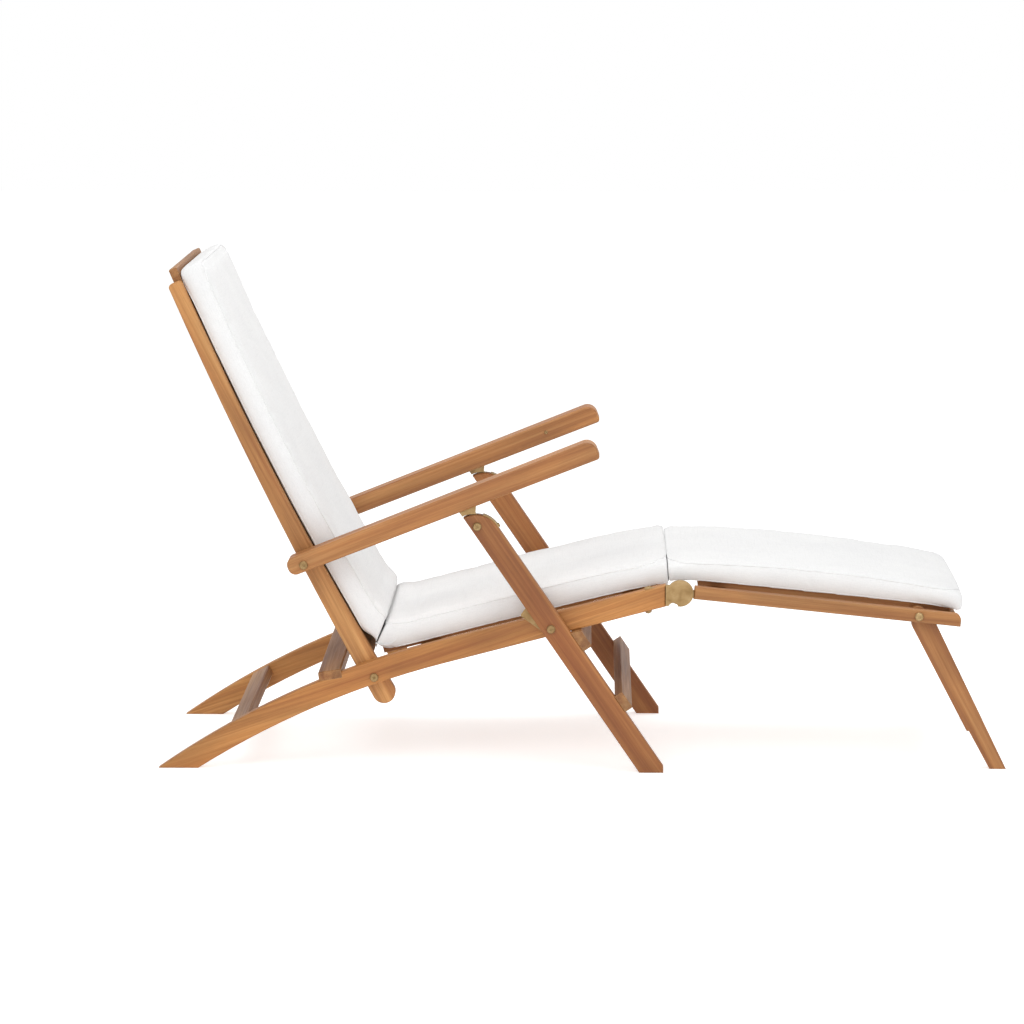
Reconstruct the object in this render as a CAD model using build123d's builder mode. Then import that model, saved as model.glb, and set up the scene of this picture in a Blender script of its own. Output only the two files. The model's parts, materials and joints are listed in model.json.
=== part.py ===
from build123d import *
from math import atan2, cos, degrees, radians, sin, tan
import os

# Folding teak reclining chair with a footrest, three pads and brass fittings, in millimetres.
# +X points from head to foot, +Z is up, and the chair is symmetric about the plane Y = 0.
# The right-hand side of the chair lies at negative Y.

RIGHT, LEFT = -1, 1
SIDES = (("right", RIGHT), ("left", LEFT))

# Layers across the width, measured from the centre plane
RAIL_INNER, RAIL_THICK = 237.0, 22.0
POST_GAP, POST_THICK = 1.0, 22.0
LEG_GAP, LEG_THICK = 3.0, 22.0
ARM_GAP, ARM_WIDTH = 4.0, 50.0
SLAT_COUNT, SLAT_WIDTH, SLAT_GAP, SLAT_THICK = 6, 58.0, 12.0, 12.0
PAD_HALF_WIDTH = 228.0
RAIL_OUTER = RAIL_INNER + RAIL_THICK
POST_OUTER = RAIL_INNER - POST_GAP
POST_INNER = POST_OUTER - POST_THICK
LEG_INNER = RAIL_OUTER + LEG_GAP
LEG_OUTER = LEG_INNER + LEG_THICK
LEG_MIDDLE = LEG_INNER + LEG_THICK / 2
ARM_INNER = POST_OUTER + ARM_GAP
ARM_OUTER = ARM_INNER + ARM_WIDTH

# Clearances and the bevels of edges
RUNNING_CLEARANCE = 0.05
SOFT_CLEARANCE = 0.3
EASE = 2.0
SLAT_EASE = 1.5

# Seat: the straight stretch of the side rail's top edge, then the curve down to the rear foot
SEAT_FRONT_X, SEAT_FRONT_Z, SEAT_SLOPE = 150.0, 340.0, 14.3
RAIL_TURN_X = -250.0
RAIL_DEPTH_FRONT, RAIL_DEPTH_TURN = 39.6, 43.0
FOOT_TIP_X, FOOT_LENGTH = -769.0, 72.0
SLAT_RISE = 6.0
SEAT_SLAT_REAR, SEAT_SLAT_FRONT_GAP = -528.0, 8.0
BATTEN_WIDTH, BATTEN_THICK = 38.0, 18.0
SEAT_BATTEN_REAR, SEAT_BATTEN_FRONT = -440.0, -62.0
REAR_STRETCHER_X, REAR_STRETCHER_Z, REAR_STRETCHER_TILT = -619.0, 81.0, 29.0
REAR_STRETCHER_WIDTH, REAR_STRETCHER_THICK = 36.0, 19.0
STOP_PLANK_X, STOP_PLANK_Z, STOP_PLANK_TILT = -456.0, 173.0, 9.0
STOP_PLANK_WIDTH, STOP_PLANK_THICK, STOP_NOTCH_SPARE = 42.0, 16.0, 14.0

# Back: its front edge is an arc that starts low and leans back as it rises
BACK_PIVOT = (-376.0, 169.0)
BACK_LOW, BACK_SLOPE_LOW = (-342.0, 148.0), 59.0
BACK_RADIUS, BACK_LENGTH = 6135.0, 830.0
POST_DEPTH_LOW, POST_DEPTH_MIDDLE, POST_DEPTH_TOP = 41.5, 29.5, 26.0
POST_MIDDLE = 440.0
CREST_HEIGHT, CREST_RISE = 86.0, 24.0
BACK_RAIL_LOW, BACK_RAIL_HEIGHT = 70.0, 55.0
CROSS_THICK, CROSS_INSET = 15.0, 1.0
BACK_SLAT_INSET = 2.5

# Arms
ARM_PIVOT, ARM_SLOPE = (-500.0, 379.0), 21.3
ARM_BELOW, ARM_REAR_DEPTH, ARM_FRONT_DEPTH = 12.3, 32.0, 37.0
ARM_REACH, ARM_REAR = 566.0, 29.0
ARM_REAR_ROUND, ARM_TIP_ROUND, ARM_CHIN_ROUND, ARM_EASE = 14.0, 20.0, 6.0, 3.0
POST_TOP_ROUND = 7.0

# Crossed front legs
LEG_TOP_BOLT, LEG_PIVOT = (-188.5, 449.0), (-56.0, 263.0)
LEG_SLOPE, LEG_WIDTH, LEG_AXIS_OFFSET = 55.66, 42.0, 4.4
LEG_TOP_REAR, LEG_TOP_MIDDLE, LEG_TOP_FRONT, LEG_TOP_CREST = 255.0, 243.0, 205.0, 14.3
LEG_FRONT_CORNER = 11.0
STOP_RAIL_HEIGHT, STOP_RAIL_THICK = 40.0, 18.0
LEG_STRETCHER_Z, LEG_STRETCHER_HEIGHT, LEG_STRETCHER_THICK = 126.0, 34.0, 16.0
WEAR_PLATE_REAR, WEAR_PLATE_FRONT, WEAR_PLATE_WIDTH = 57.6, 18.0, 32.0
WEAR_PLATE_TILT, WEAR_PLATE_CORNER = -36.0, 2.0

# Brass bracket at the leg top, its prong and the slotted track under the arm
BRACKET_LENGTH, BRACKET_THICK, TONGUE_THICK, TONGUE_ROUND = 32.0, 19.0, 8.0, 11.0
TONGUE_CLEARANCE = 0.4
PRONG_RADIUS, PRONG_HEIGHT = 4.0, 9.0
TRACK_LENGTH, TRACK_WIDTH, TRACK_THICK = 164.0, 26.0, 2.5
ARM_PRONG, TRACK_BACK_MARGIN, TRACK_STOPS, RECLINE_SLIDE, TRACK_LEAVE = 310.8, 22.0, 5, 97.0, 24.0
TRACK_SLOT_HALF, TRACK_STOP_RADIUS = 4.8, 6.8
GROOVE_DEPTH, GROOVE_SPARE = 16.0, 1.0
NECK_GAP_REAR, NECK_MIDDLE, NECK_FRONT = 3.2, (255.3, 6.0), (248.8, -5.5)
NECK_SEAT, TONGUE_REACH, SLOT_SPARE = 6.0, 24.0, 2.0
CAP_THICK, CAP_START = 2.0, 0.5

# Footrest hinge and footrest
HINGE = (176.0, 325.0)
DISC_RADIUS, FOOT_DISC_RADIUS = 24.0, 22.0
DISC_PROUD, DISC_THICK, FOOT_DISC_THICK, DISC_GAP = 3.0, 8.0, 6.7, 0.3
SCALLOP_RADIUS, SCALLOP_OFFSET, SCALLOP_ANGLE = 9.0, 29.0, 245.0
SEAT_TAIL_LENGTH, SEAT_TAIL_HEIGHT, SEAT_TAIL_THICK = 38.0, 20.0, 3.0
DISC_NECK_HEIGHT = 38.0
FOOT_SLOPE, FOOT_RAIL_START, FOOT_RAIL_END = -5.82, 25.0, 508.0
FOOT_RAIL_ABOVE, FOOT_RAIL_DEPTH, FOOT_END_ROUND = 14.3, 22.5, 12.0
FOOT_TAIL_LENGTH, FOOT_TAIL_HEIGHT = 44.0, 14.0
FOOT_SLAT_START, FOOT_SLAT_INSET = 32.0, 16.0
FOOT_BATTEN_NEAR, FOOT_BATTEN_INSET, FOOT_BATTEN_WIDTH, FOOT_BATTEN_THICK = 68.0, 22.0, 30.0, 16.0
FOOT_LEG_INSET, FOOT_LEG_RISE = 76.05894, 2.81487
FOOT_LEG_TOP_RADIUS, FOOT_LEG_STEP_Z, FOOT_LEG_STEP = 14.0, 70.0, 4.0
FOOT_LEG_SHOULDER_REAR, FOOT_LEG_SHOULDER_FRONT, FOOT_LEG_SHOULDER_DROP = 10.6, 35.0, 22.0
FOOT_LEG_REACH, FOOT_LEG_SOLE = 133.0, 30.0
FOOT_STRETCHER_Z, FOOT_STRETCHER_HEIGHT, FOOT_STRETCHER_THICK = 118.0, 32.0, 16.0

# Bolts
BOLT_RADIUS, HEAD_RADIUS, HEAD_HEIGHT = 4.0, 7.7, 5.0
NUT_RADIUS, NUT_HEIGHT, HEAD_BEVEL = 7.5, 4.5, 2.0
SOCKET_RADIUS, SOCKET_DEPTH = 3.4, 2.4
HINGE_PIN_HEAD, HINGE_PIN_HEAD_THICK, HINGE_PIN_SEAT = 8.0, 3.5, 4.5

# Pads
PAD_THICK, PAD_EDGE, PAD_CROWN, PAD_WAIST = 44.0, 6.0, 4.0, 2.0
PAD_END_DRAW, PAD_END_LIFT = 5.0, 5.0
PAD_ROUNDING = ((0.0, 1.0), (3.5, 0.4), (12.0, 0.0))
PAD_WAIST_SHARES = ((0.2, 0.6), (0.4, 1.0), (0.6, 1.0), (0.8, 0.6))
PAD_TOP_REACH, PAD_FOOT_REACH, PAD_FOOT_LEAN, PAD_GAP = 18.0, 7.61855, 5.0, 1.5


def direction(angle):
    """Unit vector in the XZ plane at an angle above +X."""
    return Vector(cos(radians(angle)), 0, sin(radians(angle)))


def side_plane(origin, angle=0.0):
    """Plane seen from the chair's right: local x along the angle, local y up from it."""
    return Plane(origin=(origin[0], 0, origin[1]), x_dir=direction(angle), z_dir=(0, -1, 0))


def layer(plane, side, inner, outer):
    """The side plane moved to the layer that a piece is extruded through, on one side of the chair."""
    return plane.offset(inner if side == RIGHT else -outer)


def seat_height(x, rise=0.0):
    """Height of the straight seat line, raised by a distance square to it."""
    return SEAT_FRONT_Z + (x - SEAT_FRONT_X) * tan(radians(SEAT_SLOPE)) + rise / cos(radians(SEAT_SLOPE))


def back_point(along, behind=0.0):
    """Point on the back, by arc length up its front edge and depth behind that edge, in XZ."""
    start = radians(BACK_SLOPE_LOW)
    now = start + along / BACK_RADIUS
    centre_x = BACK_LOW[0] + BACK_RADIUS * sin(start)
    centre_z = BACK_LOW[1] + BACK_RADIUS * cos(start)
    reach = BACK_RADIUS + behind
    return (centre_x - reach * sin(now), centre_z - reach * cos(now))


def back_slope(along):
    """Lean of the back's front edge above the horizontal, in degrees."""
    return BACK_SLOPE_LOW + degrees(along / BACK_RADIUS)


def leg_point(along, rear):
    """Point on a crossed leg, by distance up from its pivot and towards its rear edge, in XZ."""
    up, back = direction(180 - LEG_SLOPE), direction(270 - LEG_SLOPE)
    return (LEG_PIVOT[0] + along * up.X + rear * back.X, LEG_PIVOT[1] + along * up.Z + rear * back.Z)


def leg_along(height, rear):
    """Distance up a crossed leg at which a line along it reaches a height."""
    return (height - leg_point(0, rear)[1]) / sin(radians(LEG_SLOPE))


def foot_point(along, rise=0.0):
    """Point on the footrest, by distance from its hinge and rise square to its slope, in XZ."""
    forward, up = direction(FOOT_SLOPE), direction(FOOT_SLOPE + 90)
    return (HINGE[0] + along * forward.X + rise * up.X, HINGE[1] + along * forward.Z + rise * up.Z)


def finish(builder, name):
    """Name a finished piece and write it."""
    builder.part.label = name
    export_step(builder.part, f"parts/{name}.step")


def ease_outline(builder, size=EASE):
    """Bevel the edges around a board's two broad faces."""
    faces = builder.faces().sort_by(Axis.Y)
    chamfer(faces[0].edges() + faces[-1].edges(), size)


def drill(centre, radius=BOLT_RADIUS + RUNNING_CLEARANCE):
    """Bore a hole across the chair at a point in XZ."""
    with Locations((centre[0], 0, centre[1])):
        Cylinder(radius, 3 * ARM_OUTER, rotation=(90, 0, 0), mode=Mode.SUBTRACT)


XZ = side_plane((0.0, 0.0))
SEAT = side_plane((SEAT_FRONT_X, SEAT_FRONT_Z), SEAT_SLOPE)
FOOT = side_plane(HINGE, FOOT_SLOPE)
ARM = side_plane(ARM_PIVOT, ARM_SLOPE)
LEG = side_plane(LEG_PIVOT, 180 - LEG_SLOPE)
FOOT_LEG_PIVOT = foot_point(FOOT_RAIL_END - FOOT_LEG_INSET, FOOT_LEG_RISE)
SLAT_PITCH = SLAT_WIDTH + SLAT_GAP
SLAT_EDGES = [(index - SLAT_COUNT / 2) * SLAT_PITCH + SLAT_GAP / 2 for index in range(SLAT_COUNT)]

os.makedirs("parts", exist_ok=True)

# Side rails, straight under the seat and curved down to the rear feet
rail_front = (SEAT_FRONT_X, SEAT_FRONT_Z)
rail_bottom_front = (SEAT_FRONT_X, SEAT_FRONT_Z - RAIL_DEPTH_FRONT)
rail_turn = (RAIL_TURN_X, seat_height(RAIL_TURN_X))
rail_bottom_turn = (RAIL_TURN_X, rail_turn[1] - RAIL_DEPTH_TURN)
rail_bottom_angle = atan2(rail_bottom_front[1] - rail_bottom_turn[1], SEAT_FRONT_X - RAIL_TURN_X)
foot_tip, foot_heel = (FOOT_TIP_X, 0.0), (FOOT_TIP_X + FOOT_LENGTH, 0.0)
stop_plank_plane = side_plane((STOP_PLANK_X, STOP_PLANK_Z), STOP_PLANK_TILT)
disc_outer = RAIL_OUTER + DISC_PROUD
disc_inner = disc_outer - DISC_THICK
tail_start = (SEAT_FRONT_X - SEAT_TAIL_LENGTH - HINGE[0], -SEAT_TAIL_HEIGHT / 2)
tail_size = (HINGE[0] - SEAT_FRONT_X + SEAT_TAIL_LENGTH, SEAT_TAIL_HEIGHT)
hinge_plane = side_plane(HINGE)

for name, side in SIDES:
    with BuildPart() as side_rail:
        with BuildSketch(layer(XZ, side, RAIL_INNER, RAIL_OUTER)):
            with BuildLine():
                Line(rail_front, rail_turn)
                TangentArc(rail_turn, foot_tip,
                           tangent=(-cos(radians(SEAT_SLOPE)), -sin(radians(SEAT_SLOPE))))
                Line(foot_tip, foot_heel)
                TangentArc(rail_bottom_turn, foot_heel,
                           tangent=(-cos(rail_bottom_angle), -sin(rail_bottom_angle)))
                Line(rail_bottom_turn, rail_bottom_front)
                Line(rail_bottom_front, rail_front)
            make_face()
        extrude(amount=RAIL_THICK)
        ease_outline(side_rail)
        with BuildSketch(stop_plank_plane):
            with Locations((STOP_PLANK_WIDTH / 2, 0)):
                Rectangle(STOP_PLANK_WIDTH + STOP_NOTCH_SPARE, STOP_PLANK_THICK,
                          align=(Align.MAX, Align.CENTER))
        extrude(amount=RAIL_OUTER, both=True, mode=Mode.SUBTRACT)
        with BuildSketch(layer(hinge_plane, side, disc_inner, disc_inner + SEAT_TAIL_THICK)):
            with Locations(tail_start):
                Rectangle(*tail_size, align=Align.MIN)
        extrude(amount=SEAT_TAIL_THICK, mode=Mode.SUBTRACT)
        drill(BACK_PIVOT)
        drill(LEG_PIVOT)
    finish(side_rail, f"{name}_side_rail")

# Rear stretcher between the rails, flush with their top edge
stretcher_plane = side_plane((REAR_STRETCHER_X, REAR_STRETCHER_Z), REAR_STRETCHER_TILT)
with BuildPart() as rear_stretcher:
    with BuildSketch(stretcher_plane.offset(-RAIL_INNER)):
        Rectangle(REAR_STRETCHER_WIDTH, REAR_STRETCHER_THICK)
    extrude(amount=2 * RAIL_INNER)
    chamfer(rear_stretcher.edges().filter_by(Axis.Y), EASE)
finish(rear_stretcher, "rear_stretcher")

# Plank across the rails that the reclined back comes to rest on
with BuildPart() as back_stop_plank:
    with BuildSketch(stop_plank_plane.offset(-RAIL_OUTER)):
        Rectangle(STOP_PLANK_WIDTH, STOP_PLANK_THICK)
    extrude(amount=2 * RAIL_OUTER)
    chamfer(back_stop_plank.faces().sort_by(Axis.Z)[-1].edges(), EASE)
finish(back_stop_plank, "back_stop_plank")

# Seat battens and lengthwise slats
for name, along in (("rear_seat_batten", SEAT_BATTEN_REAR), ("front_seat_batten", SEAT_BATTEN_FRONT)):
    with BuildPart() as batten:
        with BuildSketch(SEAT.offset(-RAIL_INNER)):
            with Locations((along, SLAT_RISE - SLAT_THICK)):
                Rectangle(BATTEN_WIDTH, BATTEN_THICK, align=(Align.CENTER, Align.MAX))
        extrude(amount=2 * RAIL_INNER)
    finish(batten, name)

for number, edge in enumerate(SLAT_EDGES, 1):
    with BuildPart() as slat:
        with BuildSketch(SEAT.offset(edge)):
            with Locations((SEAT_SLAT_REAR, SLAT_RISE)):
                Rectangle(-SEAT_SLAT_REAR - SEAT_SLAT_FRONT_GAP, SLAT_THICK, align=(Align.MIN, Align.MAX))
        extrude(amount=SLAT_WIDTH)
        ease_outline(slat, SLAT_EASE)
    finish(slat, f"seat_slat_{number}")

# Posts of the back: a curved front edge, deeper at the pivot than at the top, and a round lower end
post_front = [back_point(share * BACK_LENGTH) for share in (0, 0.5, 1)]
post_rear = [back_point(0, POST_DEPTH_LOW), back_point(POST_MIDDLE, POST_DEPTH_MIDDLE),
             back_point(BACK_LENGTH, POST_DEPTH_TOP)]
post_end = back_point(-POST_DEPTH_LOW / 2, POST_DEPTH_LOW / 2)

for name, side in SIDES:
    with BuildPart() as post:
        with BuildSketch(layer(XZ, side, POST_INNER, POST_OUTER)) as post_outline:
            with BuildLine():
                ThreePointArc(*post_front)
                Line(post_front[2], post_rear[2])
                ThreePointArc(*post_rear)
                ThreePointArc(post_front[0], post_end, post_rear[0])
            make_face()
            fillet(post_outline.vertices().sort_by(Axis.Y)[-2:], POST_TOP_ROUND)
        extrude(amount=POST_THICK)
        ease_outline(post)
        drill(BACK_PIVOT)
        drill(ARM_PIVOT)
    finish(post, f"{name}_back_post")

# Crest rail and lower rail of the back, and the curved slats between them
crest_low = BACK_LENGTH + CREST_RISE - CREST_HEIGHT
back_rail_high = BACK_RAIL_LOW + BACK_RAIL_HEIGHT
for name, low, high in (("crest_rail", crest_low, BACK_LENGTH + CREST_RISE),
                        ("back_bottom_rail", BACK_RAIL_LOW, back_rail_high)):
    with BuildPart() as cross_rail:
        with BuildSketch(XZ.offset(-POST_INNER)):
            with BuildLine():
                Polyline(back_point(low, CROSS_INSET), back_point(high, CROSS_INSET),
                         back_point(high, CROSS_INSET + CROSS_THICK),
                         back_point(low, CROSS_INSET + CROSS_THICK), close=True)
            make_face()
        extrude(amount=2 * POST_INNER)
        chamfer(cross_rail.edges().filter_by(Axis.Y).sort_by(Axis.Z)[-2:], EASE)
    finish(cross_rail, name)

slat_middle = (back_rail_high + crest_low) / 2
slat_behind = BACK_SLAT_INSET + SLAT_THICK
slat_heights = (back_rail_high, slat_middle, crest_low)
for number, edge in enumerate(SLAT_EDGES, 1):
    with BuildPart() as slat:
        with BuildSketch(XZ.offset(edge)):
            with BuildLine():
                ThreePointArc(*[back_point(height, BACK_SLAT_INSET) for height in slat_heights])
                Line(back_point(crest_low, BACK_SLAT_INSET), back_point(crest_low, slat_behind))
                ThreePointArc(*[back_point(height, slat_behind) for height in reversed(slat_heights)])
                Line(back_point(back_rail_high, slat_behind), back_point(back_rail_high, BACK_SLAT_INSET))
            make_face()
        extrude(amount=SLAT_WIDTH)
        chamfer(slat.edges().filter_by(GeomType.CIRCLE), SLAT_EASE)
    finish(slat, f"back_slat_{number}")

# Arms, with a groove for the bracket's prong and a pocket for the brass track under each
track_start = ARM_PRONG - TRACK_BACK_MARGIN
slot_start = ARM_PRONG - TRACK_STOP_RADIUS
slot_end = ARM_PRONG + RECLINE_SLIDE + TRACK_LEAVE
stop_places = [ARM_PRONG + RECLINE_SLIDE * step / (TRACK_STOPS - 1) for step in range(TRACK_STOPS)]
groove_half = TRACK_STOP_RADIUS + GROOVE_SPARE


def under_arm(side):
    """Plane on an arm's underside: local x along the arm, local z up into it."""
    origin = ARM.from_local_coords((0, -ARM_BELOW, 0)) + Vector(0, side * LEG_MIDDLE, 0)
    return Plane(origin=origin, x_dir=ARM.x_dir, z_dir=ARM.y_dir)


for name, side in SIDES:
    with BuildPart() as arm:
        with BuildSketch(layer(ARM, side, ARM_INNER, ARM_OUTER)) as arm_outline:
            with BuildLine():
                Polyline((-ARM_REAR, -ARM_BELOW), (ARM_REACH, -ARM_BELOW),
                         (ARM_REACH, ARM_FRONT_DEPTH - ARM_BELOW),
                         (-ARM_REAR, ARM_REAR_DEPTH - ARM_BELOW), close=True)
            make_face()
            ends = arm_outline.vertices().sort_by(Axis.X)
            fillet(ends[:2], ARM_REAR_ROUND)
            fillet(arm_outline.vertices().group_by(Axis.X)[-1].sort_by(Axis.Y)[0], ARM_CHIN_ROUND)
            fillet(arm_outline.vertices().sort_by(Axis.Y)[-1], ARM_TIP_ROUND)
        extrude(amount=ARM_WIDTH)
        ease_outline(arm, ARM_EASE)
        with BuildSketch(under_arm(side)):
            with Locations((track_start, 0)):
                Rectangle(TRACK_LENGTH, TRACK_WIDTH, align=(Align.MIN, Align.CENTER))
        extrude(amount=TRACK_THICK, mode=Mode.SUBTRACT)
        with BuildSketch(under_arm(side)):
            with Locations((slot_start, 0)):
                Rectangle(slot_end - slot_start, 2 * groove_half, align=(Align.MIN, Align.CENTER))
        extrude(amount=GROOVE_DEPTH, mode=Mode.SUBTRACT)
        drill(ARM_PIVOT)
    finish(arm, f"{name}_arm")

with BuildPart() as arm_tracks:
    for name, side in SIDES:
        with BuildSketch(under_arm(side)):
            with Locations((track_start, 0)):
                Rectangle(TRACK_LENGTH, TRACK_WIDTH, align=(Align.MIN, Align.CENTER))
            with Locations((slot_start, 0)):
                Rectangle(slot_end - slot_start, 2 * TRACK_SLOT_HALF, align=(Align.MIN, Align.CENTER),
                          mode=Mode.SUBTRACT)
            with Locations(*[(place, 0) for place in stop_places]):
                Circle(TRACK_STOP_RADIUS, mode=Mode.SUBTRACT)
        extrude(amount=TRACK_THICK)
finish(arm_tracks, "arm_tracks")

# Crossed front legs, rounded at the top and slotted there for the bracket's tongue
leg_rear = LEG_WIDTH / 2 - LEG_AXIS_OFFSET
leg_front = leg_rear - LEG_WIDTH
leg_top = [(LEG_TOP_REAR, leg_rear), (LEG_TOP_MIDDLE, leg_front + LEG_TOP_CREST), (LEG_TOP_FRONT, leg_front)]
top_bolt_local = LEG.to_local_coords(Vector(LEG_TOP_BOLT[0], 0, LEG_TOP_BOLT[1]))
slot_low = top_bolt_local.X - TONGUE_ROUND - SLOT_SPARE
slot_front = top_bolt_local.Y - TONGUE_ROUND - SLOT_SPARE
slot_half = TONGUE_THICK / 2 + TONGUE_CLEARANCE

for name, side in SIDES:
    with BuildPart() as front_leg:
        with BuildSketch(layer(XZ, side, LEG_INNER, LEG_OUTER)):
            corner = leg_point(leg_along(LEG_FRONT_CORNER, leg_front), leg_front)
            with BuildLine():
                ThreePointArc(*[leg_point(*place) for place in leg_top])
                Polyline(leg_point(*leg_top[2]), corner, (corner[0], 0.0),
                         leg_point(leg_along(0.0, leg_rear), leg_rear), leg_point(*leg_top[0]))
            make_face()
        extrude(amount=LEG_THICK)
        ease_outline(front_leg)
        with BuildSketch(layer(LEG, side, LEG_MIDDLE - slot_half, LEG_MIDDLE + slot_half)):
            with Locations((slot_low, slot_front)):
                Rectangle(LEG_TOP_REAR, LEG_WIDTH, align=Align.MIN)
        extrude(amount=2 * slot_half, mode=Mode.SUBTRACT)
        drill(LEG_PIVOT)
        drill(LEG_TOP_BOLT)
    finish(front_leg, f"{name}_front_leg")

# Cross members on the front edges of the legs; the upper one stops against the side rails
rail_pitch = tan(rail_bottom_angle)


def under_rail(rear):
    """Distance up a leg at which a line along it meets the rails' underside, less a clearance."""
    start, up = leg_point(0, rear), direction(180 - LEG_SLOPE)
    underside = rail_bottom_front[1] + (start[0] - SEAT_FRONT_X) * rail_pitch - SOFT_CLEARANCE
    return (underside - start[1]) / (up.Z - up.X * rail_pitch)


stop_low = under_rail(leg_front) - STOP_RAIL_HEIGHT
with BuildPart() as leg_stop_rail:
    with BuildSketch(LEG.offset(-LEG_OUTER)):
        with BuildLine():
            Polyline((stop_low, leg_front), (under_rail(leg_front), leg_front),
                     (under_rail(leg_front - STOP_RAIL_THICK), leg_front - STOP_RAIL_THICK),
                     (stop_low, leg_front - STOP_RAIL_THICK), close=True)
        make_face()
    extrude(amount=2 * LEG_OUTER)
    chamfer(leg_stop_rail.edges().filter_by(Axis.Y).sort_by(Axis.X)[-2:], EASE)
finish(leg_stop_rail, "leg_stop_rail")

with BuildPart() as leg_stretcher:
    with BuildSketch(LEG.offset(-LEG_OUTER)):
        with Locations((leg_along(LEG_STRETCHER_Z, leg_front), leg_front)):
            Rectangle(LEG_STRETCHER_HEIGHT, LEG_STRETCHER_THICK, align=(Align.CENTER, Align.MAX))
    extrude(amount=2 * LEG_OUTER)
    chamfer(leg_stretcher.edges().filter_by(Axis.Y).sort_by(Axis.X)[-2:], EASE)
finish(leg_stretcher, "leg_stretcher")

# Brass: strips over the legs' rounded tops, and wear plates between legs and rails
cap_curve = ThreePointArc(*leg_top, mode=Mode.PRIVATE)
cap_inner = [cap_curve @ share for share in (CAP_START, (CAP_START + 1) / 2, 1)]
cap_outer = [point + (point - cap_curve.arc_center).normalized() * CAP_THICK for point in cap_inner]
with BuildPart() as leg_caps:
    for name, side in SIDES:
        with BuildSketch(layer(LEG, side, LEG_INNER + EASE, LEG_OUTER - EASE)):
            with BuildLine():
                ThreePointArc(*cap_inner)
                Line(cap_inner[2], cap_outer[2])
                ThreePointArc(*reversed(cap_outer))
                Line(cap_outer[0], cap_inner[0])
            make_face()
        extrude(amount=LEG_THICK - 2 * EASE)
finish(leg_caps, "leg_caps")

wear_thick = LEG_GAP - SOFT_CLEARANCE
wear_plane = side_plane(LEG_PIVOT, WEAR_PLATE_TILT)
with BuildPart() as leg_wear_plates:
    for name, side in SIDES:
        with BuildSketch(layer(wear_plane, side, RAIL_OUTER, RAIL_OUTER + wear_thick)) as wear_outline:
            with Locations((-WEAR_PLATE_REAR, 0)):
                Rectangle(WEAR_PLATE_REAR + WEAR_PLATE_FRONT, WEAR_PLATE_WIDTH,
                          align=(Align.MIN, Align.CENTER))
            chamfer(wear_outline.vertices(), WEAR_PLATE_CORNER)
        extrude(amount=wear_thick)
    drill(LEG_PIVOT)
finish(leg_wear_plates, "leg_wear_plates")

# Arm brackets: a tongue in the leg's slot, a neck under the arm and a prong in the track
neck_top = -ARM_BELOW - SOFT_CLEARANCE
neck_ends = [ARM.from_local_coords((ARM_PRONG + place * BRACKET_LENGTH / 2, neck_top, 0))
             for place in (-1, 1)]
neck_low = [leg_point(LEG_TOP_REAR + NECK_GAP_REAR, leg_rear), leg_point(*NECK_MIDDLE),
            leg_point(*NECK_FRONT)]
for name, side in SIDES:
    with BuildPart() as bracket:
        with BuildSketch(layer(XZ, side, LEG_MIDDLE - BRACKET_THICK / 2, LEG_MIDDLE + BRACKET_THICK / 2)):
            with BuildLine():
                Polyline(neck_low[0], (neck_ends[0].X, neck_ends[0].Z), (neck_ends[1].X, neck_ends[1].Z),
                         neck_low[2])
                ThreePointArc(*neck_low)
            make_face()
        extrude(amount=BRACKET_THICK)
        with BuildSketch(layer(LEG, side, LEG_MIDDLE - TONGUE_THICK / 2, LEG_MIDDLE + TONGUE_THICK / 2)):
            with Locations((top_bolt_local.X, top_bolt_local.Y)):
                Circle(TONGUE_ROUND)
                Rectangle(TONGUE_REACH, 2 * TONGUE_ROUND, align=(Align.MIN, Align.CENTER))
        extrude(amount=TONGUE_THICK)
        with BuildSketch(under_arm(side).offset(-NECK_SEAT)):
            with Locations((ARM_PRONG, 0)):
                Circle(PRONG_RADIUS)
        extrude(amount=NECK_SEAT + PRONG_HEIGHT)
        chamfer(bracket.edges().filter_by(GeomType.CIRCLE).sort_by(Axis.Z)[-1], PRONG_RADIUS / 2)
        drill(LEG_TOP_BOLT)
    finish(bracket, f"{name}_arm_bracket")

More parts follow.
